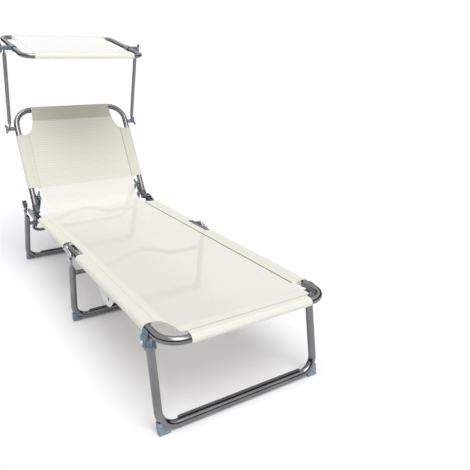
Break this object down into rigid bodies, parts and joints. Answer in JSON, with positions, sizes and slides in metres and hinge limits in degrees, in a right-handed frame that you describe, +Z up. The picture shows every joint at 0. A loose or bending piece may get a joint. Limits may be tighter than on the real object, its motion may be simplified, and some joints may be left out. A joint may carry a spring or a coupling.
{
  "type": "folding sun lounger",
  "caption": "Folding sun lounger with a bent tube frame, stretched fabric bed, notched reclining backrest and a tilting fabric shade on arms.",
  "frame": {"origin": "on the floor under the middle of the whole lounger as it stands in the picture", "axes": "+Z up, +Y from the foot end towards the head end, +X across it"},
  "size_m": [0.6514, 1.7762, 1.1144],
  "materials": {
    "frame_tube": "satin grey metallic powder coat on steel tube",
    "plated_steel": "bright zinc plate",
    "dark_steel": "dark satin",
    "blue_grey_plastic": "satin blue-grey moulding",
    "dark_plastic": "satin dark blue-grey moulding",
    "black_plastic": "black",
    "fabric": "cream mesh weave",
    "webbing": "light grey flat webbing"
  },
  "bodies": {
    "seat": {"seat_rail_left": "frame_tube", "seat_rail_right": "frame_tube", "seat_fabric": "fabric", "fold_plate_left": "plated_steel", "fold_plate_right": "plated_steel", "rear_bracket_left": "dark_steel", "rear_bracket_right": "dark_steel"},
    "foot_section": {"foot_frame": "frame_tube", "foot_plate_left": "plated_steel", "foot_plate_right": "plated_steel", "front_leg_clip_left": "blue_grey_plastic", "front_leg_clip_right": "blue_grey_plastic", "front_leg_pin_left": "plated_steel", "front_leg_pin_right": "plated_steel", "foot_fabric": "fabric", "carry_strap": "webbing", "strap_snap": "black_plastic"},
    "front_leg": {"front_leg_frame": "frame_tube", "front_leg_rod": "dark_steel", "front_leg_socket_left": "blue_grey_plastic", "front_leg_socket_right": "blue_grey_plastic", "front_foot_pad_left": "blue_grey_plastic", "front_foot_pad_right": "blue_grey_plastic"},
    "mid_leg": {"mid_leg_frame": "frame_tube", "mid_crossbar": "frame_tube", "mid_leg_rod": "dark_steel", "mid_foot_pad_left": "blue_grey_plastic", "mid_foot_pad_right": "blue_grey_plastic"},
    "rear_leg": {"rear_leg_frame": "frame_tube", "rear_crossbar": "frame_tube", "rear_leg_rod": "dark_steel", "rear_leg_cap_left": "dark_plastic", "rear_leg_cap_right": "dark_plastic", "rear_foot_pad_left": "blue_grey_plastic", "rear_foot_pad_right": "blue_grey_plastic"},
    "recline_pins": {"recline_pin_left": "plated_steel", "recline_pin_right": "plated_steel"},
    "backrest": {"back_frame": "frame_tube", "hinge_socket_left": "dark_plastic", "hinge_socket_right": "dark_plastic", "arm_spacer_left": "blue_grey_plastic", "arm_spacer_right": "blue_grey_plastic", "back_fabric": "fabric"},
    "support_bow": {"bow_frame": "frame_tube", "ratchet_rack_left": "dark_plastic", "ratchet_rack_right": "dark_plastic"},
    "shade_arms": {"shade_arm_left": "frame_tube", "shade_arm_right": "frame_tube"},
    "shade": {"shade_hoop_front": "frame_tube", "shade_hoop_rear": "frame_tube", "shade_clamp_left": "blue_grey_plastic", "shade_clamp_right": "blue_grey_plastic", "shade_fabric": "fabric"},
    "bow_knob_left": {"bow_knob_left": "blue_grey_plastic"},
    "bow_knob_right": {"bow_knob_right": "blue_grey_plastic"},
    "arm_knob_left": {"arm_knob_left": "blue_grey_plastic"},
    "arm_knob_right": {"arm_knob_right": "blue_grey_plastic"},
    "shade_knob_left": {"shade_knob_left": "blue_grey_plastic"},
    "shade_knob_right": {"shade_knob_right": "blue_grey_plastic"}
  },
  "joints": [
    {"name": "foot_fold", "type": "hinge", "parent": "seat", "child": "foot_section", "pos_m": [0, -0.03564, 0.3255], "axis": [-1, 0, 0], "range_deg": [0, 135]},
    {"name": "front_leg_fold", "type": "hinge", "parent": "foot_section", "child": "front_leg", "pos_m": [0, -0.77864, 0.2825], "axis": [1, 0, 0], "range_deg": [0, 98]},
    {"name": "mid_leg_fold", "type": "hinge", "parent": "seat", "child": "mid_leg", "pos_m": [0, -0.05914, 0.2825], "axis": [1, 0, 0], "range_deg": [0, 79]},
    {"name": "rear_leg_fold", "type": "hinge", "parent": "seat", "child": "rear_leg", "pos_m": [0, 0.67136, 0.2985], "axis": [-1, 0, 0], "range_deg": [0, 106]},
    {"name": "backrest_fold", "type": "hinge", "parent": "seat", "child": "recline_pins", "pos_m": [0, 0.51636, 0.328], "axis": [-1, 0, 0], "range_deg": [-80, 0]},
    {"name": "backrest_recline", "type": "hinge", "parent": "recline_pins", "child": "backrest", "pos_m": [0, 0.51636, 0.328], "axis": [-1, 0, 0], "range_deg": [0, 61.5]},
    {"name": "bow_swing", "type": "hinge", "parent": "backrest", "child": "support_bow", "pos_m": [0, 0.56995, 0.39107], "axis": [1, 0, 0], "range_deg": [0, 76.3]},
    {"name": "shade_swing", "type": "hinge", "parent": "backrest", "child": "shade_arms", "pos_m": [0, 0.73218, 0.68987], "axis": [1, 0, 0], "range_deg": [-75, 60]},
    {"name": "shade_tilt", "type": "hinge", "parent": "shade_arms", "child": "shade", "pos_m": [0, 0.61918, 1.05268], "axis": [1, 0, 0], "range_deg": [-45, 45]},
    {"name": "bow_knob_left_turn", "type": "hinge", "parent": "backrest", "child": "bow_knob_left", "pos_m": [-0.2536, 0.56995, 0.39107], "axis": [1, 0, 0], "continuous": true},
    {"name": "bow_knob_right_turn", "type": "hinge", "parent": "backrest", "child": "bow_knob_right", "pos_m": [0.2536, 0.56995, 0.39107], "axis": [-1, 0, 0], "continuous": true},
    {"name": "arm_knob_left_turn", "type": "hinge", "parent": "backrest", "child": "arm_knob_left", "pos_m": [-0.3087, 0.73218, 0.68987], "axis": [-1, 0, 0], "continuous": true},
    {"name": "arm_knob_right_turn", "type": "hinge", "parent": "backrest", "child": "arm_knob_right", "pos_m": [0.3087, 0.73218, 0.68987], "axis": [1, 0, 0], "continuous": true},
    {"name": "shade_knob_left_turn", "type": "hinge", "parent": "shade", "child": "shade_knob_left", "pos_m": [-0.3087, 0.61918, 1.05268], "axis": [-1, 0, 0], "continuous": true},
    {"name": "shade_knob_right_turn", "type": "hinge", "parent": "shade", "child": "shade_knob_right", "pos_m": [0.3087, 0.61918, 1.05268], "axis": [1, 0, 0], "continuous": true}
  ],
  "couplings": [
    {"joint": "bow_swing", "follows": "backrest_recline", "ratio": 1.24}
  ]
}
